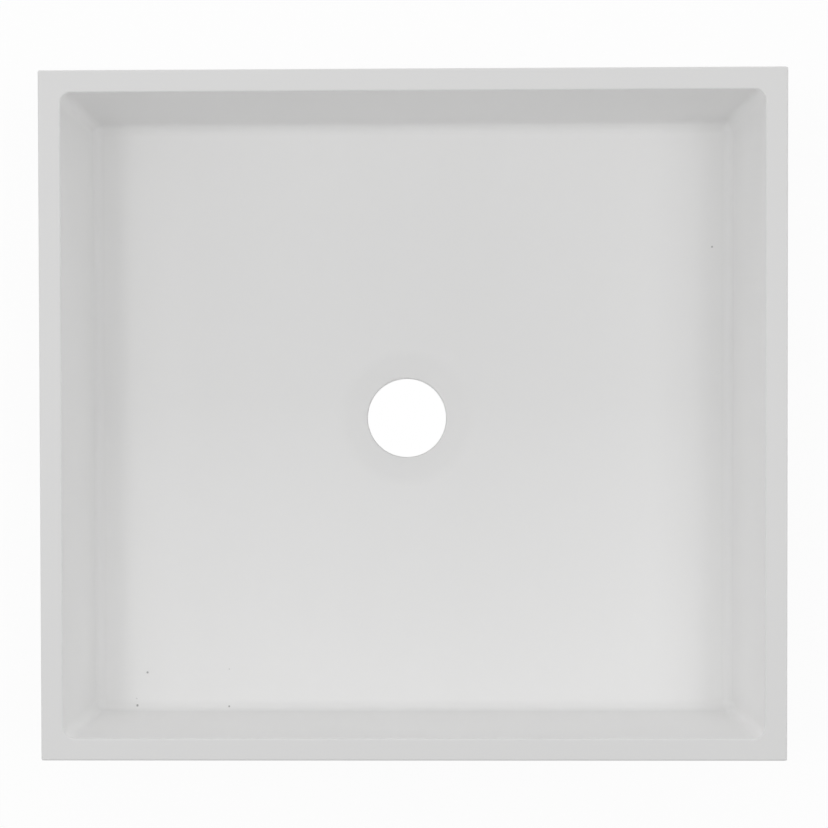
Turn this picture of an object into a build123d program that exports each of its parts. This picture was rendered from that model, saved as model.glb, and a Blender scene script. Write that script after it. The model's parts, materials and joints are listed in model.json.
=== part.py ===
from build123d import *
import os

# A box washbasin built up from flat mineral sheet and square bars of the same material.
# The pieces are let into each other and bonded. The bowl is then routed in one pass, which leaves
# the same tight fillet round the floor and in the four upright corners.
# Millimetres, +X to the right, +Y to the back, +Z up.
# The origin is on the counter, under the middle of the outside.

# Overall sizes
outer_width = 400.0
outer_depth = 370.0
bowl_depth = 110.0

# Sheet thicknesses
wall_thickness = 12.0
floor_thickness = 12.0
backing_thickness = 12.0

# The backing under the floor stays this far above the counter that the walls stand on
counter_clearance = 1.0

# Inside shape of the bowl, and the easing of every edge that a hand can reach
fillet_radius = 6.0
arris_radius = 1.0

# How far the floor's edges and the bars are let into the sheets they join
let_in = 4.0

# Waste hole, its place beside the middle, and the shallow dish that drains into it
waste_hole_diameter = 46.5
waste_offset = -3.5
dish_diameter = 76.0
dish_fall = 2.5
dish_lip_radius = 38.0
waste_ring_diameter = 110.0
waste_ring_bore_diameter = 50.0

# Bars and blocks under the floor
cleat_width = 18.0
corner_block_side = 40.0
corner_block_clip = 12.0

# The open space of the bowl runs this far past the rim
rim_overrun = 5.0

# Levels and inside sizes
outer_height = bowl_depth + floor_thickness + backing_thickness + counter_clearance
floor_top = outer_height - bowl_depth
floor_underside = floor_top - floor_thickness
fillet_top = floor_top + fillet_radius
inner_width = outer_width - 2 * wall_thickness
inner_depth = outer_depth - 2 * wall_thickness

# Square bars that the fillets are routed from, and where their inner faces stand
fillet_bar = fillet_radius + let_in
side_reach = inner_width / 2 - fillet_radius
end_reach = inner_depth / 2 - fillet_radius

SIDES = ("left", "right")
ENDS = ("front", "back")

os.makedirs("parts", exist_ok=True)


def with_signs(pair):
    """Gives the two names of a pair with the signs of their sides of the middle."""
    return zip(pair, (-1, 1))


def write_piece(piece, name):
    """Labels a finished piece with its name and writes its STEP file."""
    piece.part.label = name
    export_step(piece.part, f"parts/{name}.step")


# The bowl's open space, rounded everywhere but at the top, where it runs out through the rim
with BuildPart() as bowl_space:
    with BuildSketch(Plane.XY.offset(floor_top)):
        Rectangle(inner_width, inner_depth)
    extrude(amount=bowl_depth + rim_overrun)
    fillet([edge for group in bowl_space.edges().group_by(Axis.Z)[:-1] for edge in group], fillet_radius)

# The dish falls as a shallow cone to the waste hole, and its lip is rounded off once it is cut
with BuildPart() as dish_space:
    with BuildSketch(Plane.XZ):
        with BuildLine():
            Polyline(
                (0, floor_top),
                (dish_diameter / 2, floor_top),
                (waste_hole_diameter / 2, floor_top - dish_fall),
                (0, floor_top - dish_fall),
                close=True,
            )
        make_face()
    revolve(axis=Axis.Z)

# The whole outside and the routed bowl, with every edge eased, from which each piece takes its part
with BuildPart() as sanded_form:
    with BuildSketch():
        Rectangle(outer_width, outer_depth)
    extrude(amount=outer_height)
    fillet(sanded_form.edges(), arris_radius)
    add(bowl_space.part, mode=Mode.SUBTRACT)
    rim = sanded_form.faces().filter_by(Plane.XY).sort_by(Axis.Z)[-1]
    fillet(rim.inner_wires()[0].edges(), arris_radius)

# The floor as it is cut, let into all four walls
with BuildPart() as floor_blank:
    with BuildSketch(Plane.XY.offset(floor_underside)):
        Rectangle(inner_width + 2 * let_in, inner_depth + 2 * let_in)
    extrude(amount=floor_thickness)

# The bars as they are let in, before the bowl is routed: the side bars run past the ends of the end
# bars, and the corner bars stand on them
floor_bars, corner_bars = {}, {}
for side, side_sign in with_signs(SIDES):
    with BuildPart() as bar:
        with BuildSketch(Plane.XY.offset(floor_top - let_in)):
            with Locations((side_sign * (side_reach + fillet_bar / 2), 0)):
                Rectangle(fillet_bar, inner_depth + 2 * let_in)
        extrude(amount=fillet_bar)
    floor_bars[f"{side}_floor_fillet"] = bar.part
for end, end_sign in with_signs(ENDS):
    with BuildPart() as bar:
        with BuildSketch(Plane.XY.offset(floor_top - let_in)):
            with Locations((0, end_sign * (end_reach + fillet_bar / 2))):
                Rectangle(2 * side_reach, fillet_bar)
        extrude(amount=fillet_bar)
    floor_bars[f"{end}_floor_fillet"] = bar.part
    for side, side_sign in with_signs(SIDES):
        with BuildPart() as bar:
            with BuildSketch(Plane.XY.offset(fillet_top)):
                corner_x = side_sign * (side_reach + fillet_bar / 2)
                with Locations((corner_x, end_sign * (end_reach + fillet_bar / 2))):
                    Rectangle(fillet_bar, fillet_bar)
            extrude(amount=outer_height - fillet_top)
        corner_bars[f"{end}_{side}_corner_fillet"] = bar.part
bars = {**floor_bars, **corner_bars}

for name, blank in bars.items():
    with BuildPart() as routed_bar:
        add(blank)
        add(sanded_form.part, mode=Mode.INTERSECT)
    write_piece(routed_bar, name)

# The walls stand on the counter, mitred at the outer corners, with grooves for the floor and the bars
walls_in_turn = [
    ("front_wall", outer_width, outer_depth),
    ("right_wall", outer_depth, outer_width),
    ("back_wall", outer_width, outer_depth),
    ("left_wall", outer_depth, outer_width),
]
for quarter_turns, (name, length, distance_across) in enumerate(walls_in_turn):
    with BuildPart() as wall:
        with BuildSketch(Plane.XY.rotated((0, 0, 90 * quarter_turns))):
            with BuildLine():
                outer_y = -distance_across / 2
                inner_y = outer_y + wall_thickness
                Polyline(
                    (-length / 2, outer_y),
                    (length / 2, outer_y),
                    (length / 2 - wall_thickness, inner_y),
                    (wall_thickness - length / 2, inner_y),
                    close=True,
                )
            make_face()
        extrude(amount=outer_height)
        add(sanded_form.part, mode=Mode.INTERSECT)
        add(floor_blank.part, mode=Mode.SUBTRACT)
        add(bars.values(), mode=Mode.SUBTRACT)
    write_piece(wall, name)

# The floor, rebated for the bars, with the dish and the waste hole in it
with BuildPart() as floor_panel:
    add(floor_blank.part)
    add(bars.values(), mode=Mode.SUBTRACT)
    with Locations((waste_offset, 0, 0)):
        add(dish_space.part, mode=Mode.SUBTRACT)
    with BuildSketch(Plane.XY.offset(floor_underside)):
        with Locations((waste_offset, 0)):
            Circle(waste_hole_diameter / 2)
    extrude(amount=floor_thickness, mode=Mode.SUBTRACT)
    fillet(floor_panel.edges().filter_by(GeomType.CIRCLE).sort_by(Axis.Z)[-2], arris_radius)
    fillet(floor_panel.edges().filter_by(GeomType.CIRCLE).sort_by(Axis.Z)[-1], dish_lip_radius)
write_piece(floor_panel, "floor_panel")

# A ring under the hole, where the floor is thinned by the dish and takes the clamped waste. Its bore
# clears the hole, so that the floor alone centres the waste
with BuildPart() as waste_backing_ring:
    with BuildSketch(Plane.XY.offset(counter_clearance)):
        with Locations((waste_offset, 0)):
            Circle(waste_ring_diameter / 2)
            Circle(waste_ring_bore_diameter / 2, mode=Mode.SUBTRACT)
    extrude(amount=backing_thickness)
    chamfer(waste_backing_ring.faces().sort_by(Axis.Z)[0].edges(), arris_radius)
write_piece(waste_backing_ring, "waste_backing_ring")

# Blocks that tie the mitres under the floor, with the corner nearest the waste cut off
for end, end_sign in with_signs(ENDS):
    for side, side_sign in with_signs(SIDES):
        with BuildPart() as corner_block:
            with BuildSketch(Plane.XY.offset(counter_clearance)) as block_outline:
                block_x = side_sign * (inner_width - corner_block_side) / 2
                with Locations((block_x, end_sign * (inner_depth - corner_block_side) / 2)):
                    Rectangle(corner_block_side, corner_block_side)
                inner_corner = block_outline.vertices().sort_by_distance((0, 0))[0]
                chamfer(inner_corner, corner_block_clip)
            extrude(amount=backing_thickness)
        write_piece(corner_block, f"{end}_{side}_corner_block")

# Cleats in the angle of floor and wall, from block to block
for end, end_sign in with_signs(ENDS):
    with BuildPart() as end_cleat:
        with BuildSketch(Plane.XY.offset(counter_clearance)):
            with Locations((0, end_sign * (inner_depth - cleat_width) / 2)):
                Rectangle(inner_width - 2 * corner_block_side, cleat_width)
        extrude(amount=backing_thickness)
        exposed_edges = end_cleat.faces().sort_by(Axis.Z)[0].edges().filter_by(Axis.X)
        fillet(exposed_edges.sort_by_distance((0, 0, 0))[0], arris_radius)
    write_piece(end_cleat, f"{end}_cleat")
for side, side_sign in with_signs(SIDES):
    with BuildPart() as side_cleat:
        with BuildSketch(Plane.XY.offset(counter_clearance)):
            with Locations((side_sign * (inner_width - cleat_width) / 2, 0)):
                Rectangle(cleat_width, inner_depth - 2 * corner_block_side)
        extrude(amount=backing_thickness)
        exposed_edges = side_cleat.faces().sort_by(Axis.Z)[0].edges().filter_by(Axis.Y)
        fillet(exposed_edges.sort_by_distance((0, 0, 0))[0], arris_radius)
    write_piece(side_cleat, f"{side}_cleat")
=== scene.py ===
"""The looks of a box washbasin of bonded mineral sheet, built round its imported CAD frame.

The bowl and the outside of the real basin are routed and sanded in one pass over the bonded sheets
and bars. So the whole sanded form is modelled first, and each piece is the part of it that lies in
that piece's blank: every surface runs on over the joints, as it does on the real thing.
Metres, +X to the right, +Y to the back, +Z up, with the origin on the counter.
"""

import json
import logging
import math
from dataclasses import dataclass
from enum import Enum
from typing import Any, Callable, Iterable, Sequence

import bmesh
import bpy
from mathutils import Euler, Matrix, Vector


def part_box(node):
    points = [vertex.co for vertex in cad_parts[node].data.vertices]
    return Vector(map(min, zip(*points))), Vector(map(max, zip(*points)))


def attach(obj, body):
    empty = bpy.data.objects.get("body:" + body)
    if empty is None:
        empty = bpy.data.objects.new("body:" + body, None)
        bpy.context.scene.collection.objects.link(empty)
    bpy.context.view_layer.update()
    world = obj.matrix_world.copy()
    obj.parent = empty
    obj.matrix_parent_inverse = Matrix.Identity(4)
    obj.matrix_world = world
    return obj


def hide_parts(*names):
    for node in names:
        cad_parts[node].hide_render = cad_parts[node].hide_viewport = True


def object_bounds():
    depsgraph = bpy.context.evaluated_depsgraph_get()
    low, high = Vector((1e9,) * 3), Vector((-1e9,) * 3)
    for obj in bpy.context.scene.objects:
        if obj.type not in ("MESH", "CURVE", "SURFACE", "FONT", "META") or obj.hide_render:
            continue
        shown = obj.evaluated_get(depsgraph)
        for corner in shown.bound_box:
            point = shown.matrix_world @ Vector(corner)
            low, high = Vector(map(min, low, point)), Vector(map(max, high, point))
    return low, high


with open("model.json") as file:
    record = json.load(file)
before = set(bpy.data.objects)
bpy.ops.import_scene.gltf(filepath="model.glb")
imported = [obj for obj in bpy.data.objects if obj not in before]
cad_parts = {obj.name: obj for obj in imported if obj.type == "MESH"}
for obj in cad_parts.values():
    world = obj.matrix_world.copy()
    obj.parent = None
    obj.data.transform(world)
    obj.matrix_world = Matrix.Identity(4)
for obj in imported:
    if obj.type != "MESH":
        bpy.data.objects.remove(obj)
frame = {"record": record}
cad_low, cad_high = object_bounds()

log = logging.getLogger("washbasin")

MM = 0.001
DEGREE = math.radians(1)
QUARTER_TURN = math.tau / 4
WHITE = (1, 1, 1, 1)
BODY = "root"

# The frame's numbers are short, so sizes are rounded to this many digits, a micrometre
SIZE_DIGITS = 6

# A cutting shape runs this far past what it cuts
OVERRUN = 10 * MM

# Points this close are one point, and an edge this close to a plane lies in it
WELD = 5e-6
IN_PLANE = 4 * WELD

# An edge that turns further than this is drawn sharp
SHARP_TURN = 40 * DEGREE

# How many radians a wave texture's bands turn through in each unit of its scaled place
WAVE_TURN = 20


class Combine(Enum):
    """What a second shape does to a first one."""

    CUT = "DIFFERENCE"
    KEEP = "INTERSECT"


class Slot(Enum):
    """The record's material slots."""

    SHEET = "sanded_sheet"
    BACKING = "sawn_backing"


class Side(Enum):
    """The walls in turn, each with its quarter turns from the front."""

    FRONT = 0
    RIGHT = 1
    BACK = 2
    LEFT = 3

    @property
    def word(self) -> str:
        """The side's name in a piece's name."""
        return self.name.lower()

    @property
    def outward(self) -> Vector:
        """The direction that the side faces."""
        return Vector((0, -1, 0)) @ Matrix.Rotation(-self.value * QUARTER_TURN, 3, "Z")


ENDS = (Side.FRONT, Side.BACK)
FLANKS = (Side.LEFT, Side.RIGHT)


@dataclass(frozen=True)
class BasinSizes:
    """The basin's sizes, read from its CAD frame and its mounts.

    Attributes:
        half_width: Half the outer size along X.
        half_depth: Half the outer size along Y.
        height: Outer height, which is also the level of the rim.
        wall: Thickness of a wall.
        floor_top: Level of the flat floor.
        floor_underside: Level of the floor's lower face.
        backing_low: Level of the lower face of ring, cleats and blocks.
        let_in: How far floor and bars are let into the walls.
        fillet: Radius of the fillets round the floor and in the upright corners.
        waste_x: Place of the waste hole along X.
        waste_radius: Radius of the waste hole.
        ring_radius: Outer radius of the ring under the hole.
        cleat: Width of a cleat.
        block: Side of a corner block.
    """

    half_width: float
    half_depth: float
    height: float
    wall: float
    floor_top: float
    floor_underside: float
    backing_low: float
    let_in: float
    fillet: float
    waste_x: float
    waste_radius: float
    ring_radius: float
    cleat: float
    block: float

    @classmethod
    def from_frame(cls, record: dict[str, Any]) -> "BasinSizes":
        """Reads the sizes.

        Args:
            record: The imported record.

        Returns:
            The sizes of this basin.
        """
        wall_low, wall_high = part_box("left_wall")
        floor_low, floor_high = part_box("floor_panel")
        fillet_low, fillet_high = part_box("left_floor_fillet")
        ring_low, ring_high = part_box("waste_backing_ring")
        cleat_low, cleat_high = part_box("left_cleat")
        block_low, block_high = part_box("front_left_corner_block")
        waste = next(mount for mount in record["mounts"] if mount["name"] == "waste_hole")
        measured = {
            "half_width": cad_high.x,
            "half_depth": cad_high.y,
            "height": cad_high.z,
            "wall": wall_high.x - wall_low.x,
            "floor_top": floor_high.z,
            "floor_underside": floor_low.z,
            "backing_low": ring_low.z,
            "let_in": floor_high.z - fillet_low.z,
            "fillet": fillet_high.z - floor_high.z,
            "waste_x": waste["pos_m"][0],
            "waste_radius": waste["dims"]["r_mm"] * MM,
            "ring_radius": (ring_high.y - ring_low.y) / 2,
            "cleat": cleat_high.x - cleat_low.x,
            "block": block_high.x - block_low.x,
        }
        return cls(**{name: round(value, SIZE_DIGITS) for name, value in measured.items()})

    @property
    def inner_x(self) -> float:
        """Half the bowl's width between the side walls."""
        return self.half_width - self.wall

    @property
    def inner_y(self) -> float:
        """Half the bowl's depth between the end walls."""
        return self.half_depth - self.wall

    @property
    def fillet_top(self) -> float:
        """Level where the fillets round the floor run out into the walls."""
        return self.floor_top + self.fillet


class Form:
    """A closed shape under construction, held in a bmesh."""

    def __init__(self) -> None:
        """Starts an empty form."""
        self.bm = bmesh.new()

    @classmethod
    def box(cls, low: Sequence[float], high: Sequence[float]) -> "Form":
        """Makes a box.

        Args:
            low: Lowest corner.
            high: Highest corner.

        Returns:
            The box as a form.
        """
        form = cls()
        size = [b - a for a, b in zip(low, high)]
        centre = [(a + b) / 2 for a, b in zip(low, high)]
        place = Matrix.Translation(centre) @ Matrix.Diagonal((*size, 1))
        bmesh.ops.create_cube(form.bm, size=1, matrix=place)
        return form

    @classmethod
    def prism(cls, outline: Iterable[Sequence[float]], along: Sequence[float]) -> "Form":
        """Makes a prism.

        Args:
            outline: Corners of its flat end, in order.
            along: From that end to the other.

        Returns:
            The prism as a form.
        """
        form = cls()
        face = form.bm.faces.new([form.bm.verts.new(point) for point in outline])
        grown = bmesh.ops.extrude_face_region(form.bm, geom=[face], use_keep_orig=True)
        moved = [item for item in grown["geom"] if isinstance(item, bmesh.types.BMVert)]
        bmesh.ops.translate(form.bm, verts=moved, vec=along)
        bmesh.ops.recalc_face_normals(form.bm, faces=form.bm.faces)
        return form

    @classmethod
    def turned(cls, profile: Iterable[tuple[float, float]], axis_x: float, steps: int) -> "Form":
        """Turns a profile about an upright axis in the plane of X and Z.

        Args:
            profile: Distances from the axis with their levels, in order.
            axis_x: Place of the axis along X.
            steps: Facets in a full turn.

        Returns:
            The turned solid as a form.
        """
        form = cls()
        points = [form.bm.verts.new((axis_x + across, 0, level)) for across, level in profile]
        edges = [form.bm.edges.new(pair) for pair in zip(points, points[1:])]
        bmesh.ops.spin(
            form.bm, geom=points + edges, cent=(axis_x, 0, 0), axis=(0, 0, 1), angle=math.tau,
            steps=steps, use_merge=True, use_duplicate=False,
        )
        form.weld()
        bmesh.ops.recalc_face_normals(form.bm, faces=form.bm.faces)
        return form

    def weld(self) -> "Form":
        """Merges points that lie together.

        Returns:
            This form.
        """
        bmesh.ops.remove_doubles(self.bm, verts=self.bm.verts, dist=WELD)
        bmesh.ops.dissolve_degenerate(self.bm, edges=self.bm.edges, dist=WELD)
        return self

    def round_edges(
        self, chosen: Callable[[bmesh.types.BMEdge], bool], radius: float, segments: int
    ) -> "Form":
        """Rounds edges over.

        Args:
            chosen: Says of each edge whether it is rounded.
            radius: Radius of the rounding.
            segments: Facets across the rounding.

        Returns:
            This form.
        """
        bmesh.ops.bevel(
            self.bm, geom=[edge for edge in self.bm.edges if chosen(edge)], offset=radius,
            offset_type="OFFSET", segments=segments, profile=0.5, affect="EDGES", material=-1,
            clamp_overlap=False,
        )
        return self.weld()

    def combine(self, how: Combine, *others: "Form") -> "Form":
        """Cuts this form with others, or keeps what they share.

        Args:
            how: What each of the others does to this form.
            *others: The other forms, which stay as they are.

        Returns:
            This form.
        """
        for other in others:
            base, tool = self.as_object("base"), other.as_object("tool")
            modifier = base.modifiers.new("combine", "BOOLEAN")
            modifier.object, modifier.operation, modifier.solver = tool, how.value, "EXACT"
            graph = bpy.context.evaluated_depsgraph_get()
            result = bpy.data.meshes.new_from_object(base.evaluated_get(graph))
            self.bm.clear()
            self.bm.from_mesh(result)
            spent = [base.data, tool.data, result]
            bpy.data.objects.remove(base)
            bpy.data.objects.remove(tool)
            for mesh in spent:
                bpy.data.meshes.remove(mesh)
            self.weld()
        return self

    def copy(self) -> "Form":
        """Makes an equal form.

        Returns:
            The new form, which shares nothing with this one.
        """
        twin = Form()
        twin.bm = self.bm.copy()
        return twin

    def as_object(self, name: str) -> bpy.types.Object:
        """Puts the form into the scene.

        Args:
            name: Name of the new object.

        Returns:
            The object, which stands at the origin.
        """
        mesh = bpy.data.meshes.new(name)
        self.bm.to_mesh(mesh)
        thing = bpy.data.objects.new(name, mesh)
        bpy.context.scene.collection.objects.link(thing)
        return thing


def lies_at(edge: bmesh.types.BMEdge, axis: int, value: float) -> bool:
    """Says whether an edge lies in a plane square to an axis.

    Args:
        edge: The edge.
        axis: 0, 1 or 2 for X, Y or Z.
        value: The plane's place on that axis.

    Returns:
        True where both ends of the edge lie in the plane.
    """
    return all(abs(vert.co[axis] - value) < IN_PLANE for vert in edge.verts)


def rounded_corner(
    before: Sequence[float], corner: Sequence[float], after: Sequence[float], radius: float, facets: int
) -> list[tuple[float, float]]:
    """Rounds off a corner of a flat outline.

    Args:
        before: The point before the corner.
        corner: The corner.
        after: The point after it.
        radius: Radius of the rounding.
        facets: Facets across the rounding.

    Returns:
        The points that take the corner's place.
    """
    back = (Vector(before) - Vector(corner)).normalized()
    ahead = (Vector(after) - Vector(corner)).normalized()
    half_angle = back.angle(ahead) / 2
    centre = Vector(corner) + (back + ahead).normalized() * radius / math.sin(half_angle)
    run = radius / math.tan(half_angle)
    first, last = ((Vector(corner) + side * run - centre).normalized() for side in (back, ahead))
    turns = (first.slerp(last, step / facets) for step in range(facets + 1))
    return [tuple(centre + turn * radius) for turn in turns]


def signed_span(sign: int, near: float, far: float) -> tuple[float, float]:
    """Gives the low and high ends of a span that lies on one side of the middle.

    Args:
        sign: 1 for the side of +X or +Y, -1 for the other.
        near: The span's end nearer to the middle.
        far: Its other end.

    Returns:
        Both ends, the lower one first.
    """
    return (near, far) if sign > 0 else (-far, -near)


@dataclass(frozen=True)
class SandedForm:
    """The bonded basin as one solid, before it is shared out among its pieces.

    Attributes:
        sizes: The basin's sizes.
        arris: Radius of the eased edges.
        sawn_arris: Radius of the edges under the floor, which are only broken.
        dish_radius: Radius where the cone of the dish would meet the floor.
        dish_fall: How deep the cone lies at the waste hole.
        dish_lip: Radius of the rounding between cone and floor.
        fillet_facets: Facets across a fillet.
        arris_facets: Facets across an eased edge, an odd number so that no joint meets a crease.
        dish_facets: Facets across that rounding.
        turn_facets: Facets in a full turn.
    """

    sizes: BasinSizes
    arris: float = 1.0 * MM
    sawn_arris: float = 0.5 * MM
    dish_radius: float = 38.0 * MM
    dish_fall: float = 2.5 * MM
    dish_lip: float = 38.0 * MM
    fillet_facets: int = 24
    arris_facets: int = 5
    dish_facets: int = 10
    turn_facets: int = 192

    def outside(self) -> Form:
        """Models the outer block with its edges eased.

        Returns:
            The block.
        """
        s = self.sizes
        block = Form.box((-s.half_width, -s.half_depth, 0), (s.half_width, s.half_depth, s.height))
        return block.round_edges(lambda edge: True, self.arris, self.arris_facets)

    def solid(self) -> Form:
        """Models the basin with the space under its floor still filled.

        Returns:
            The basin as one form.
        """
        form = self.outside().combine(Combine.CUT, self.bowl_space())
        form.round_edges(self.on_inner_rim, self.arris, self.arris_facets)
        return form.combine(Combine.CUT, self.waste_space())

    def wall(self, side: Side, joinery: "Joinery") -> Form:
        """Models one wall, which is all flat faces and eased edges.

        Args:
            side: Which wall.
            joinery: The blanks of the pieces that are let into it.

        Returns:
            The wall with its grooves.
        """
        form = self.outside().combine(Combine.KEEP, joinery.wall(side))
        form.combine(Combine.CUT, joinery.floor(), *joinery.grooves())
        form.round_edges(self.on_inner_rim, self.arris, self.arris_facets)
        return form.round_edges(self.on_inner_foot, self.sawn_arris, self.arris_facets)

    def within_bowl(self, edge: bmesh.types.BMEdge) -> bool:
        """Says whether both ends of an edge stand on or inside the walls' inner faces."""
        s = self.sizes
        return all(
            abs(vert.co.x) < s.inner_x + WELD and abs(vert.co.y) < s.inner_y + WELD
            for vert in edge.verts
        )

    def on_inner_rim(self, edge: bmesh.types.BMEdge) -> bool:
        """Picks the edges where the bowl breaks through the rim."""
        return lies_at(edge, 2, self.sizes.height) and self.within_bowl(edge)

    def on_inner_foot(self, edge: bmesh.types.BMEdge) -> bool:
        """Picks the edges where the space under the floor meets the counter."""
        return lies_at(edge, 2, 0) and self.within_bowl(edge)

    def bowl_space(self) -> Form:
        """Models the bowl's open space, rounded everywhere but at the top.

        Returns:
            The space as a form.
        """
        s = self.sizes
        top = s.height + OVERRUN
        space = Form.box((-s.inner_x, -s.inner_y, s.floor_top), (s.inner_x, s.inner_y, top))
        return space.round_edges(lambda edge: not lies_at(edge, 2, top), s.fillet, self.fillet_facets)

    def waste_space(self) -> Form:
        """Models the open space of the dish and of the waste hole below it.

        Returns:
            The space as a form.
        """
        s = self.sizes
        foot = (s.waste_radius, -OVERRUN)
        edge = (s.waste_radius, s.floor_top - self.dish_fall)
        lip = (self.dish_radius, s.floor_top)
        floor = (s.inner_y, s.floor_top)
        profile = [(0, -OVERRUN), foot]
        profile += rounded_corner(foot, edge, lip, self.arris, self.arris_facets)
        profile += rounded_corner(edge, lip, floor, self.dish_lip, self.dish_facets)
        rim = s.floor_top + OVERRUN
        profile += [(profile[-1][0], rim), (0, rim)]
        return Form.turned(profile, s.waste_x, self.turn_facets)


@dataclass(frozen=True)
class Joinery:
    """The blanks of sheets and bars, as they are let into each other before the bowl is routed.

    Attributes:
        sizes: The basin's sizes.
    """

    sizes: BasinSizes

    def floor(self) -> Form:
        """Gives the floor's blank, let into all four walls and standing proud for the router.

        Returns:
            The blank.
        """
        s = self.sizes
        x, y = s.inner_x + s.let_in, s.inner_y + s.let_in
        return Form.box((-x, -y, s.floor_underside), (x, y, s.floor_top + s.let_in))

    def bar_span(self, sign: float, inner: float) -> tuple[float, float]:
        """Gives the span of a bar across the inner face of the wall that it is let into."""
        return signed_span(round(sign), inner - self.sizes.fillet, inner + self.sizes.let_in)

    def side_bar(self, flank: Side) -> Form:
        """Gives the bar along a side wall, which runs past the ends of the end bars.

        Args:
            flank: The side wall.

        Returns:
            The bar.
        """
        s = self.sizes
        low_x, high_x = self.bar_span(flank.outward.x, s.inner_x)
        reach = s.inner_y + s.let_in
        return Form.box((low_x, -reach, s.floor_top - s.let_in), (high_x, reach, s.fillet_top))

    def end_bar(self, end: Side, reach: float) -> Form:
        """Gives the bar along an end wall.

        Args:
            end: The end wall.
            reach: Half the bar's length.

        Returns:
            The bar.
        """
        s = self.sizes
        low_y, high_y = self.bar_span(end.outward.y, s.inner_y)
        return Form.box((-reach, low_y, s.floor_top - s.let_in), (reach, high_y, s.fillet_top))

    def corner_bar(self, end: Side, flank: Side, foot: float) -> Form:
        """Gives the upright bar in a corner.

        Args:
            end: The end wall that it stands against.
            flank: The side wall that it stands against.
            foot: Level of its lower end.

        Returns:
            The bar.
        """
        s = self.sizes
        low_x, high_x = self.bar_span(flank.outward.x, s.inner_x)
        low_y, high_y = self.bar_span(end.outward.y, s.inner_y)
        return Form.box((low_x, low_y, foot), (high_x, high_y, s.height + OVERRUN))

    def grooves(self) -> list[Form]:
        """Gives the space that all the bars take up.

        Returns:
            Shapes that run into each other, so that no cut leaves a fin between them.
        """
        s = self.sizes
        spaces = [self.side_bar(flank) for flank in FLANKS]
        for end in ENDS:
            spaces.append(self.end_bar(end, s.inner_x + s.let_in))
            spaces += [self.corner_bar(end, flank, s.floor_top - s.let_in) for flank in FLANKS]
        return spaces

    def bars(self) -> dict[str, Form]:
        """Gives every bar's blank.

        Returns:
            The blanks by the names of their CAD nodes.
        """
        s = self.sizes
        blanks = {f"{flank.word}_floor_fillet": self.side_bar(flank) for flank in FLANKS}
        for end in ENDS:
            blanks[f"{end.word}_floor_fillet"] = self.end_bar(end, s.inner_x - s.fillet)
            for flank in FLANKS:
                name = f"{end.word}_{flank.word}_corner_fillet"
                blanks[name] = self.corner_bar(end, flank, s.fillet_top)
        return blanks

    def wall(self, side: Side) -> Form:
        """Gives the mitred space of one wall, from its inner face to well outside.

        Args:
            side: Which wall.

        Returns:
            The space as a form.
        """
        s = self.sizes
        length, across = s.half_width, s.half_depth
        if side in FLANKS:
            length, across = across, length
        outline = [
            (-length - OVERRUN, -across - OVERRUN),
            (length + OVERRUN, -across - OVERRUN),
            (length - s.wall, s.wall - across),
            (s.wall - length, s.wall - across),
        ]
        turn = Matrix.Rotation(side.value * QUARTER_TURN, 3, "Z")
        corners = [turn @ Vector((x, y, -OVERRUN)) for x, y in outline]
        return Form.prism(corners, (0, 0, s.height + 2 * OVERRUN))


class Wire:
    """An output socket that takes part in expressions: each operator adds its Math node."""

    def __init__(self, graph: "Graph", node: bpy.types.Node, output: int | str = 0) -> None:
        """Wraps one output of a node.

        Args:
            graph: The node tree's builder.
            node: The node.
            output: Number or name of its output.
        """
        self.graph = graph
        self.node = node
        self.socket = node.outputs[output] if len(node.outputs) else None

    def output(self, name: int | str) -> "Wire":
        """Gives another output of the same node."""
        return Wire(self.graph, self.node, name)

    def __add__(self, other: "Wire | float") -> "Wire":
        """Adds a wire or a number."""
        return self.graph.maths("ADD", self, other)

    def __radd__(self, other: float) -> "Wire":
        """Adds this wire to a number."""
        return self.graph.maths("ADD", other, self)

    def __sub__(self, other: "Wire | float") -> "Wire":
        """Takes a wire or a number away."""
        return self.graph.maths("SUBTRACT", self, other)

    def __rsub__(self, other: float) -> "Wire":
        """Takes this wire away from a number."""
        return self.graph.maths("SUBTRACT", other, self)

    def __mul__(self, other: "Wire | float") -> "Wire":
        """Multiplies by a wire or a number."""
        return self.graph.maths("MULTIPLY", self, other)

    def __rmul__(self, other: float) -> "Wire":
        """Multiplies a number by this wire."""
        return self.graph.maths("MULTIPLY", other, self)

    def __truediv__(self, other: "Wire | float") -> "Wire":
        """Divides by a wire or a number."""
        return self.graph.maths("DIVIDE", self, other)

    def __rtruediv__(self, other: float) -> "Wire":
        """Divides a number by this wire."""
        return self.graph.maths("DIVIDE", other, self)

    def __abs__(self) -> "Wire":
        """Drops the sign."""
        return self.graph.maths("ABSOLUTE", self)

    def at_least(self, other: "Wire | float") -> "Wire":
        """Gives the larger of two values."""
        return self.graph.maths("MAXIMUM", self, other)

    def clamped(self) -> "Wire":
        """Keeps the value between 0 and 1."""
        return self.graph.add("ShaderNodeClamp", {}, {"Value": self})


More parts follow.
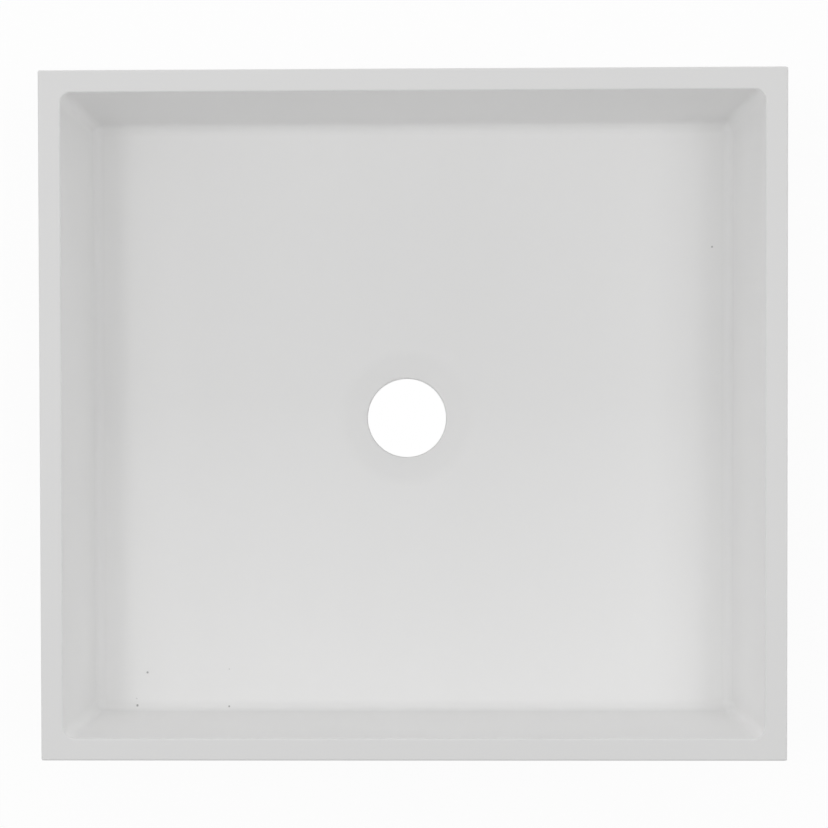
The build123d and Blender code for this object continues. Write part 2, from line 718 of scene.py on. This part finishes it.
class Graph:
    """Fills the node tree of a material or of the world."""

    def __init__(self, owner: bpy.types.Material | bpy.types.World) -> None:
        """Empties the owner's node tree.

        Args:
            owner: The material or the world.
        """
        owner.use_nodes = True
        self.tree = owner.node_tree
        self.tree.nodes.clear()

    def add(self, kind: str, settings: dict[str, Any], sockets: dict[int | str, Any]) -> Wire:
        """Adds a node.

        Args:
            kind: The node's type.
            settings: Its properties, which are set first.
            sockets: A value or a wire for each input, by number or name.

        Returns:
            The node's first output.
        """
        node = self.tree.nodes.new(kind)
        for name, value in settings.items():
            setattr(node, name, value)
        for name, value in sockets.items():
            if isinstance(value, Wire):
                self.tree.links.new(value.socket, node.inputs[name])
            else:
                node.inputs[name].default_value = value
        return Wire(self, node)

    def maths(self, operation: str, *values: Wire | float) -> Wire:
        """Works a value out from others.

        Args:
            operation: The Math node's operation.
            *values: The wires or numbers it acts on.

        Returns:
            The result.
        """
        return self.add("ShaderNodeMath", {"operation": operation}, dict(enumerate(values)))

    def place(self) -> Wire:
        """Gives the place on the object, which is also its place in the basin's frame."""
        return self.add("ShaderNodeTexCoord", {}, {}).output("Object")

    def axes(self, place: Wire) -> tuple[Wire, Wire, Wire]:
        """Splits a place into its X, Y and Z."""
        parts = self.add("ShaderNodeSeparateXYZ", {}, {"Vector": place})
        return parts.output("X"), parts.output("Y"), parts.output("Z")

    def distance_in_plan(self, place: Wire, x: float, y: float) -> Wire:
        """Measures how far the shaded place is from an upright line.

        Args:
            place: The shaded place.
            x: The line's place along X.
            y: The line's place along Y.

        Returns:
            The distance in metres.
        """
        flat = self.add("ShaderNodeVectorMath", {"operation": "MULTIPLY"}, {0: place, 1: (1, 1, 0)})
        away = self.add("ShaderNodeVectorMath", {"operation": "DISTANCE"}, {0: flat, 1: (x, y, 0)})
        return away.output("Value")

    def noise(self, place: Wire, size: float, detail: float = 2) -> Wire:
        """Gives smooth noise about nought.

        Args:
            place: The shaded place.
            size: Rough size of its patches in metres.
            detail: Number of finer layers in it.

        Returns:
            Noise from about -0.5 to 0.5.
        """
        sockets = {"Vector": place, "Scale": 1 / size, "Detail": detail}
        return self.add("ShaderNodeTexNoise", {"normalize": True}, sockets) - 0.5

    def mix(self, factor: Wire | float, first: Any, second: Any, blend: str = "MIX") -> Wire:
        """Mixes two colours.

        Args:
            factor: Share of the second colour.
            first: A wire or a colour with its alpha.
            second: The other wire or colour.
            blend: How the second colour acts on the first.

        Returns:
            The mixed colour.
        """
        settings = {"data_type": "RGBA", "blend_type": blend}
        mixed = self.add("ShaderNodeMix", settings, {0: factor, 6: first, 7: second})
        return mixed.output(2)

    def mix_shaders(self, factor: Wire | float, first: Wire, second: Wire) -> Wire:
        """Mixes two shaders, with the factor as the share of the second one."""
        return self.add("ShaderNodeMixShader", {}, {0: factor, 1: first, 2: second})

    def seen_directly(self) -> Wire:
        """Tells what is looked at from what only lights the scene.

        Returns:
            1 to the camera, to reflections and through clear things, and 0 to all other light.
        """
        rays = self.add("ShaderNodeLightPath", {}, {})
        mirrored = rays.output("Is Glossy Ray").at_least(rays.output("Is Transmission Ray"))
        return rays.output("Is Camera Ray").at_least(mirrored)


@dataclass(frozen=True)
class Speck:
    """A dark grain of filler that shows at the surface.

    Attributes:
        x: Its place along X.
        y: Its place along Y.
        radius: Its radius.
        depth: How fully its own colour shows, up to 1.
        fade_out: How many of its radii out it has faded away.
        paleness: How pale its own colour is beside the sheet's.
    """

    x: float
    y: float
    radius: float
    depth: float
    fade_out: float = 1.5
    paleness: float = 0.25


@dataclass(frozen=True)
class MineralFinish:
    """Matte mineral sheet, white through and through.

    Attributes:
        name: The material's name.
        slot: The record's slot that it stands for; not used.
        colour: Its colour.
        roughness: Its mean roughness.
        outside_shaded_share: How pale it is beside that colour on the rim and outside the bowl, a
            painted shade that keeps them no brighter than the bowl under the lamps.
        dish_shaded_share: How pale it is beside that colour in the dish, a painted shade in that
            recess.
        foot_shaded_share: How pale it is beside that colour in the fillets round the floor, a painted
            shade in that crease.
        cloud_size: Size of the faint clouds in the casting.
        cloud_share: How far the clouds lighten and darken the colour.
        grain_size: Size of the filler's grain.
        grain_share: How far the grain lightens and darkens the colour.
        scratch_size: Size of the marks that sanding leaves.
        scratch_height: Height of these marks.
        scratch_detail: Number of finer layers in them.
        wave_size: Size of the gentle unevenness left by hand sanding.
        wave_height: Height of this unevenness.
        saw_pitch: Distance between saw marks, or 0 where they are sanded off.
        saw_height: Height of the saw marks.
        saw_waver: How far the saw marks waver.
        saw_detail: Number of finer layers in that wavering.
        saw_detail_scale: Scale of those layers.
        cloud_roughness: How far the clouds change the roughness.
        scratch_roughness: How far the sanding marks change the roughness.
        refraction: Refractive index of the acrylic that binds the sheet.
        rim_reach: How far below the rim's level the painted shade of the outside begins, on its eased
            edge.
        rim_blend: Distance over which the bowl's plain colour gives way to that painted shade.
        dish_reach: Radius where the dish's painted shade ends.
        dish_blend: Distance over which it gives way to the bowl's plain colour.
        foot_lead: How far out on the floor the painted shade of the fillets round it begins.
        foot_blend: Distance over which the bowl's plain colour gives way to it, on the floor and up the
            wall.
        specks: Dark grains at the surface.
    """

    name: str
    slot: Slot
    colour: tuple[float, float, float]
    roughness: float
    outside_shaded_share: float = 1
    dish_shaded_share: float = 1
    foot_shaded_share: float = 1
    cloud_size: float = 45 * MM
    cloud_share: float = 0.006
    grain_size: float = 0.6 * MM
    grain_share: float = 0.012
    scratch_size: float = 0.35 * MM
    scratch_height: float = 0.003 * MM
    scratch_detail: float = 4
    wave_size: float = 70 * MM
    wave_height: float = 0.05 * MM
    saw_pitch: float = 0
    saw_height: float = 0
    saw_waver: float = 1.5
    saw_detail: float = 2
    saw_detail_scale: float = 1.5
    cloud_roughness: float = 0.08
    scratch_roughness: float = 0.12
    refraction: float = 1.49
    rim_reach: float = 1.0 * MM
    rim_blend: float = 0.8 * MM
    dish_reach: float = 41 * MM
    dish_blend: float = 6 * MM
    foot_lead: float = 1 * MM
    foot_blend: float = 3 * MM
    specks: tuple[Speck, ...] = ()

    def material(self, sizes: BasinSizes) -> bpy.types.Material:
        """Gives the finish as a material, which is made at its first use.

        Args:
            sizes: The basin's sizes, which tell the bowl from the outside.

        Returns:
            The material.
        """
        known = bpy.data.materials.get(self.name)
        if known:
            return known
        material = bpy.data.materials.new(self.name)
        graph = Graph(material)
        place = graph.place()
        clouds = graph.noise(place, self.cloud_size)
        grain = graph.noise(place, self.grain_size)
        scratches = graph.noise(place, self.scratch_size, self.scratch_detail)
        share = self.cloud_share + self.grain_share
        lightness = clouds * (self.cloud_share / share) + grain * (self.grain_share / share)
        dark = tuple(channel * (1 - share) for channel in self.colour)
        light = tuple(min(1, channel * (1 + share)) for channel in self.colour)
        colour = graph.mix((lightness + 0.5).clamped(), (*dark, 1), (*light, 1))
        # Painted shade: darker in the dish, in the fillets round the floor, and on the rim and outside.
        colour = graph.mix(1, colour, self.paleness(graph, place, sizes), blend="MULTIPLY")
        for speck in self.specks:
            colour = self.with_speck(graph, place, grain, colour, speck)
        height = scratches * self.scratch_height + graph.noise(place, self.wave_size) * self.wave_height
        if self.saw_pitch:
            height = height + self.saw_marks(graph, place) * self.saw_height
        bump = graph.add("ShaderNodeBump", {}, {"Strength": 1, "Distance": 1, "Height": height})
        roughness = self.roughness + clouds * self.cloud_roughness + scratches * self.scratch_roughness
        skin = graph.add(
            "ShaderNodeBsdfPrincipled", {},
            {"Base Color": colour, "Roughness": roughness, "Normal": bump, "IOR": self.refraction},
        )
        graph.add("ShaderNodeOutputMaterial", {}, {"Surface": skin})
        return material

    def paleness(self, graph: Graph, place: Wire, sizes: BasinSizes) -> Wire:
        """Paints shade into the colour: darker in the dish, in the fillets, on the rim and outside.

        Args:
            graph: The material's graph.
            place: The shaded place.
            sizes: The basin's sizes.

        Returns:
            The share of the finish's colour that this painted shade leaves.
        """
        x, y, z = graph.axes(place)
        past_wall = (abs(x) - sizes.inner_x).at_least(abs(y) - sizes.inner_y)
        up_rim = z - (sizes.height - self.rim_reach)
        # Painted shade: the rim and the outer faces are darker, so that under the lamps they look no
        # brighter than the bowl.
        outside = (past_wall.at_least(up_rim) / self.rim_blend).clamped()
        # Painted shade: the fillets round the floor, and the floor and wall just beside them, are
        # darker, as shade in that crease.
        into_foot = ((past_wall + (sizes.fillet + self.foot_lead)) / self.foot_blend).clamped()
        below_wall = ((sizes.fillet_top - z) / self.foot_blend).clamped()
        at_foot = into_foot * below_wall * (1 - outside)
        # Painted shade: the dish round the waste hole is darker, as shade in that recess.
        from_waste = graph.distance_in_plan(place, sizes.waste_x, 0)
        in_dish = ((self.dish_reach - from_waste) / self.dish_blend).clamped()
        painted_dish_and_foot_shade = in_dish * (1 - self.dish_shaded_share) + at_foot * (1 - self.foot_shaded_share)
        return 1 - outside * (1 - self.outside_shaded_share) - painted_dish_and_foot_shade

    def with_speck(self, graph: Graph, place: Wire, grain: Wire, colour: Wire, speck: Speck) -> Wire:
        """Lays a speck over the colour.

        Args:
            graph: The material's graph.
            place: The shaded place.
            grain: Noise that makes the speck's outline uneven.
            colour: The colour so far.
            speck: The speck.

        Returns:
            The colour with the speck in it.
        """
        away = graph.distance_in_plan(place, speck.x, speck.y)
        inside = (speck.fade_out - away / speck.radius + grain).clamped() * speck.depth
        tint = tuple(speck.paleness * channel for channel in self.colour)
        return graph.mix(inside, colour, (*tint, 1))

    def saw_marks(self, graph: Graph, place: Wire) -> Wire:
        """Gives the fine lines that the saw left, a little uneven.

        Args:
            graph: The material's graph.
            place: The shaded place.

        Returns:
            Marks from 0 to 1.
        """
        sockets = {
            "Vector": place,
            "Scale": math.tau / WAVE_TURN / self.saw_pitch,
            "Distortion": self.saw_waver,
            "Detail": self.saw_detail,
            "Detail Scale": self.saw_detail_scale,
        }
        settings = {"wave_type": "BANDS", "bands_direction": "Y"}
        return graph.add("ShaderNodeTexWave", settings, sockets).output("Fac")


@dataclass(frozen=True)
class Workshop:
    """Turns finished forms into the basin's pieces.

    Attributes:
        sizes: The basin's sizes.
    """

    sizes: BasinSizes

    def deliver(self, form: Form, name: str, node: str, finish: MineralFinish) -> None:
        """Puts a piece into the scene in the place of its CAD node.

        Args:
            form: The piece's shape.
            name: The piece's name.
            node: The CAD node that it stands for.
            finish: Its finish.
        """
        piece = form.as_object(name)
        piece.data.shade_smooth()
        piece.data.set_sharp_from_angle(angle=SHARP_TURN)
        shading = piece.modifiers.new("even_shading", "WEIGHTED_NORMAL")
        shading.keep_sharp = True
        piece.data.materials.append(finish.material(self.sizes))
        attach(piece, BODY)
        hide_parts(node)
        log.info("%s stands for %s with %d faces", name, node, len(piece.data.polygons))


@dataclass(frozen=True)
class Bowl:
    """The floor, the walls and the bars between them: all that is routed and sanded.

    Attributes:
        form: The whole sanded form.
        joinery: The blanks.
        workshop: Where the pieces are finished.
        finish: The sheet's finish.
    """

    form: SandedForm
    joinery: Joinery
    workshop: Workshop
    finish: MineralFinish

    def build(self) -> None:
        """Builds the floor, the bars and the walls."""
        solid = self.form.solid()
        floor = solid.copy().combine(Combine.KEEP, self.joinery.floor())
        floor.combine(Combine.CUT, *self.joinery.grooves())
        self.workshop.deliver(floor, "bowl_floor", "floor_panel", self.finish)
        for node, blank in self.joinery.bars().items():
            bar = solid.copy().combine(Combine.KEEP, blank)
            self.workshop.deliver(bar, f"{node}_bar", node, self.finish)
        for side in Side:
            wall = self.form.wall(side, self.joinery)
            self.workshop.deliver(wall, f"{side.word}_wall_sheet", f"{side.word}_wall", self.finish)


@dataclass(frozen=True)
class Backing:
    """The ring, the cleats and the corner blocks that are bonded under the floor.

    Attributes:
        sizes: The basin's sizes.
        workshop: Where the pieces are finished.
        finish: The backing's finish.
        ring_bore: Radius of the ring's bore, which clears the waste hole.
        chamfer: Chamfer of the ring, and radius of the cleats' free edges.
        clip: How much of a block's free corner is cut off.
        sawn_arris: Radius of a block's lower edges, which are only broken.
        cleat_facets: Facets across a cleat's rounded edge.
        block_facets: Facets across a block's broken edges.
        turn_facets: Facets in a full turn of the ring.
    """

    sizes: BasinSizes
    workshop: Workshop
    finish: MineralFinish
    ring_bore: float = 25.0 * MM
    chamfer: float = 1.0 * MM
    clip: float = 12.0 * MM
    sawn_arris: float = 0.5 * MM
    cleat_facets: int = 5
    block_facets: int = 3
    turn_facets: int = 192

    def build(self) -> None:
        """Builds the ring, the blocks and the cleats."""
        self.workshop.deliver(self.ring(), "waste_ring", "waste_backing_ring", self.finish)
        for end in ENDS:
            for flank in FLANKS:
                name = f"{end.word}_{flank.word}"
                block = self.block(end, flank)
                self.workshop.deliver(block, f"{name}_block", f"{name}_corner_block", self.finish)
        for side in Side:
            cleat = self.cleat(side)
            self.workshop.deliver(cleat, f"{side.word}_cleat_bar", f"{side.word}_cleat", self.finish)

    def ring(self) -> Form:
        """Models the ring, chamfered at its lower face.

        Returns:
            The ring.
        """
        s = self.sizes
        low, high, cut = s.backing_low, s.floor_underside, self.chamfer
        profile = [
            (self.ring_bore + cut, low),
            (s.ring_radius - cut, low),
            (s.ring_radius, low + cut),
            (s.ring_radius, high),
            (self.ring_bore, high),
            (self.ring_bore, low + cut),
            (self.ring_bore + cut, low),
        ]
        return Form.turned(profile, s.waste_x, self.turn_facets)

    def block(self, end: Side, flank: Side) -> Form:
        """Models a corner block with its free corner cut off.

        Args:
            end: The end wall that it touches.
            flank: The side wall that it touches.

        Returns:
            The block.
        """
        s = self.sizes
        x_sign, y_sign = round(flank.outward.x), round(end.outward.y)
        outline = [
            (s.inner_x, s.inner_y),
            (s.inner_x - s.block, s.inner_y),
            (s.inner_x - s.block, s.inner_y - s.block + self.clip),
            (s.inner_x - s.block + self.clip, s.inner_y - s.block),
            (s.inner_x, s.inner_y - s.block),
        ]
        corners = [(x_sign * x, y_sign * y, s.backing_low) for x, y in outline]
        form = Form.prism(corners, (0, 0, s.floor_underside - s.backing_low))
        return form.round_edges(
            lambda edge: lies_at(edge, 2, s.backing_low), self.sawn_arris, self.block_facets
        )

    def cleat(self, side: Side) -> Form:
        """Models the cleat along one wall, with its free lower edge eased.

        Args:
            side: The wall that it lies along.

        Returns:
            The cleat.
        """
        s = self.sizes
        axis = 0 if side in FLANKS else 1
        reach = (s.inner_x, s.inner_y)
        sign = round(side.outward[axis])
        spans = [(0.0, 0.0), (0.0, 0.0)]
        spans[axis] = signed_span(sign, reach[axis] - s.cleat, reach[axis])
        half_length = reach[1 - axis] - s.block
        spans[1 - axis] = (-half_length, half_length)
        (low_x, high_x), (low_y, high_y) = spans
        form = Form.box((low_x, low_y, s.backing_low), (high_x, high_y, s.floor_underside))
        free_face = sign * (reach[axis] - s.cleat)
        return form.round_edges(
            lambda edge: lies_at(edge, 2, s.backing_low) and lies_at(edge, axis, free_face),
            self.chamfer, self.cleat_facets,
        )


@dataclass(frozen=True)
class Softbox:
    """A soft lamp, placed round the basin.

    Attributes:
        name: The lamp's name.
        azimuth: Direction in degrees, from +X towards +Y.
        elevation: Height above the horizon in degrees.
        power: Power in watts.
        width: Level size of its face in metres.
        height: The face's other size in metres.
        distance: Distance from the rim's middle in metres.
    """

    name: str
    azimuth: float
    elevation: float
    power: float
    width: float = 0.8
    height: float = 0.8
    distance: float = 2.0

    def build(self, target: Vector) -> None:
        """Sets the lamp up.

        Args:
            target: The point that it faces.
        """
        light = bpy.data.lights.new(self.name, "AREA")
        light.shape, light.energy = "RECTANGLE", self.power
        light.size, light.size_y = self.width, self.height
        lamp = bpy.data.objects.new(self.name, light)
        bpy.context.scene.collection.objects.link(lamp)
        turn, rise = self.azimuth * DEGREE, self.elevation * DEGREE
        out = Vector((math.cos(turn) * math.cos(rise), math.sin(turn) * math.cos(rise), math.sin(rise)))
        lamp.location = target + out * self.distance
        lamp.rotation_euler = (-out).to_track_quat("-Z", "Y").to_euler()
        lamp.visible_camera = False


@dataclass(frozen=True)
class Studio:
    """A plain pale floor under soft lamps.

    Attributes:
        sizes: The basin's sizes.
        lamps: The soft lamps.
        ambient: Strength of the even light from all round.
        paleness: How pale the floor is.
        shadow_share: How much of the real floor shows to the camera, which keeps the shadow faint.
        shadow_reach: Distance from the middle at which that share has gone to nothing.
        shadow_slope: How steeply it goes: over 1, it stays whole round the middle.
        hole_reach: Within this many of the waste hole's radii no shadow shows.
        hole_blend: It comes in over this many more of them.
        floor_side: Side of the square floor.
    """

    sizes: BasinSizes
    lamps: tuple[Softbox, ...]
    ambient: float
    paleness: float = 0.9
    shadow_share: float = 0.08
    shadow_reach: float = 0.9
    shadow_slope: float = 1.3
    hole_reach: float = 1.5
    hole_blend: float = 0.5
    floor_side: float = 40.0

    def build(self) -> None:
        """Sets up the floor, the world and the lamps."""
        self.build_floor()
        self.build_world()
        rim_middle = Vector((0, 0, self.sizes.height))
        for lamp in self.lamps:
            lamp.build(rim_middle)
            log.info("%s gives %.1f watts", lamp.name, lamp.power)

    def build_floor(self) -> None:
        """Lays the floor under the basin."""
        form = Form()
        bmesh.ops.create_grid(form.bm, x_segments=1, y_segments=1, size=self.floor_side / 2)
        floor = form.as_object("counter")
        floor.data.materials.append(self.floor_material())

    def floor_material(self) -> bpy.types.Material:
        """Makes the floor white to the camera but for a faint shadow, and plain pale to all light.

        Returns:
            The floor's material.
        """
        material = bpy.data.materials.new("pale_counter")
        graph = Graph(material)
        place = graph.place()
        from_middle = graph.distance_in_plan(place, 0, 0)
        from_waste = graph.distance_in_plan(place, self.sizes.waste_x, 0) / self.sizes.waste_radius
        near = ((1 - from_middle / self.shadow_reach) * self.shadow_slope).clamped()
        past_hole = ((from_waste - self.hole_reach) / self.hole_blend).clamped()
        whiteness = 1 - near * past_hole * self.shadow_share
        pale = graph.add("ShaderNodeBsdfDiffuse", {}, {"Color": (*[self.paleness] * 3, 1)})
        white = graph.add("ShaderNodeEmission", {}, {"Color": WHITE, "Strength": 1})
        skin = graph.mix_shaders(graph.seen_directly() * whiteness, pale, white)
        graph.add("ShaderNodeOutputMaterial", {}, {"Surface": skin})
        return material

    def build_world(self) -> None:
        """Makes the surroundings white to look at, and a weak even light otherwise."""
        world = bpy.data.worlds.new("studio")
        bpy.context.scene.world = world
        graph = Graph(world)
        even = graph.add("ShaderNodeBackground", {}, {"Color": WHITE, "Strength": self.ambient})
        white = graph.add("ShaderNodeBackground", {}, {"Color": WHITE, "Strength": 1})
        sky = graph.mix_shaders(graph.seen_directly(), even, white)
        graph.add("ShaderNodeOutputWorld", {}, {"Surface": sky})


@dataclass(frozen=True)
class PhotoCamera:
    """The camera at the photograph's place.

    Attributes:
        place: Its place in metres.
        tilt: Its turns about X, Y and Z in degrees, from looking straight down.
        lens: Focal length in millimetres.
        sensor: Width of the sensor in millimetres.
        shift_x: Sideways shift of the frame.
        shift_y: Upward shift of the frame.
        nearest: How near it sees, in metres.
        farthest: How far it sees, in metres.
    """

    place: tuple[float, float, float] = (0.00197, -0.01199, 1.19034)
    tilt: tuple[float, float, float] = (-1.1026, 0.9455, -0.1299)
    lens: float = 85.835
    sensor: float = 36.0
    shift_x: float = 0.0367
    shift_y: float = 0.0750
    nearest: float = 0.01
    farthest: float = 100.0

    def build(self) -> None:
        """Sets the camera up and makes it the scene's own."""
        data = bpy.data.cameras.new("photo_camera")
        data.sensor_width, data.lens = self.sensor, self.lens
        data.shift_x, data.shift_y = self.shift_x, self.shift_y
        data.clip_start, data.clip_end = self.nearest, self.farthest
        camera = bpy.data.objects.new("photo_camera", data)
        bpy.context.scene.collection.objects.link(camera)
        camera.location = self.place
        camera.rotation_euler = Euler([angle * DEGREE for angle in self.tilt], "XYZ")
        bpy.context.scene.camera = camera


SPECKS = (
    Speck(x=-157.5 * MM, y=-150.5 * MM, radius=0.55 * MM, depth=0.8),
    Speck(x=-163.5 * MM, y=-170.0 * MM, radius=0.6 * MM, depth=0.8),
    Speck(x=-164.0 * MM, y=-166.0 * MM, radius=0.4 * MM, depth=0.3),
    Speck(x=-109.0 * MM, y=-170.5 * MM, radius=0.5 * MM, depth=0.7),
    Speck(x=-109.0 * MM, y=-148.5 * MM, radius=0.4 * MM, depth=0.3),
    Speck(x=176.0 * MM, y=100.0 * MM, radius=0.5 * MM, depth=0.7),
)

SHEET_FINISH = MineralFinish(
    name="sanded_mineral_sheet",
    slot=Slot.SHEET,
    colour=(0.868, 0.867, 0.864),
    roughness=0.5,
    # Painted shade: the rim and outside, the dish and the fillets are darker than the bowl.
    outside_shaded_share=0.862,
    dish_shaded_share=0.98,
    foot_shaded_share=0.955,
    specks=SPECKS,
)

BACKING_FINISH = MineralFinish(
    name="sawn_mineral_backing",
    slot=Slot.BACKING,
    colour=(0.78, 0.775, 0.76),
    roughness=0.68,
    cloud_share=0.02,
    grain_share=0.04,
    scratch_height=0.012 * MM,
    saw_pitch=1.4 * MM,
    saw_height=0.03 * MM,
)

LAMPS = (
    Softbox("low_back_softbox", azimuth=90, elevation=20, power=7.35),
    Softbox("low_left_softbox", azimuth=180, elevation=20, power=4.55),
    Softbox("low_right_softbox", azimuth=0, elevation=20, power=4.75),
    Softbox("mid_left_softbox", azimuth=180, elevation=45, power=1.8),
    Softbox("high_left_softbox", azimuth=180, elevation=72, power=2.6, width=0.3, height=0.74),
    Softbox("high_right_softbox", azimuth=0, elevation=72, power=3.85, width=0.3, height=0.74),
    Softbox("high_left_strip", azimuth=180, elevation=75, power=2.3, width=0.3, height=0.18),
    Softbox("high_right_strip", azimuth=0, elevation=75, power=1.25, width=0.3, height=0.18),
)


def main() -> None:
    """Builds the camera, the basin and the studio."""
    logging.basicConfig(level=logging.INFO, format="%(name)s: %(message)s")
    sizes = BasinSizes.from_frame(frame["record"])
    PhotoCamera().build()
    workshop = Workshop(sizes)
    Bowl(SandedForm(sizes), Joinery(sizes), workshop, SHEET_FINISH).build()
    Backing(sizes, workshop, BACKING_FINISH).build()
    Studio(sizes, LAMPS, ambient=0.44).build()
    bpy.context.scene.view_settings.view_transform = "Standard"


if __name__ == "__main__":
    main()
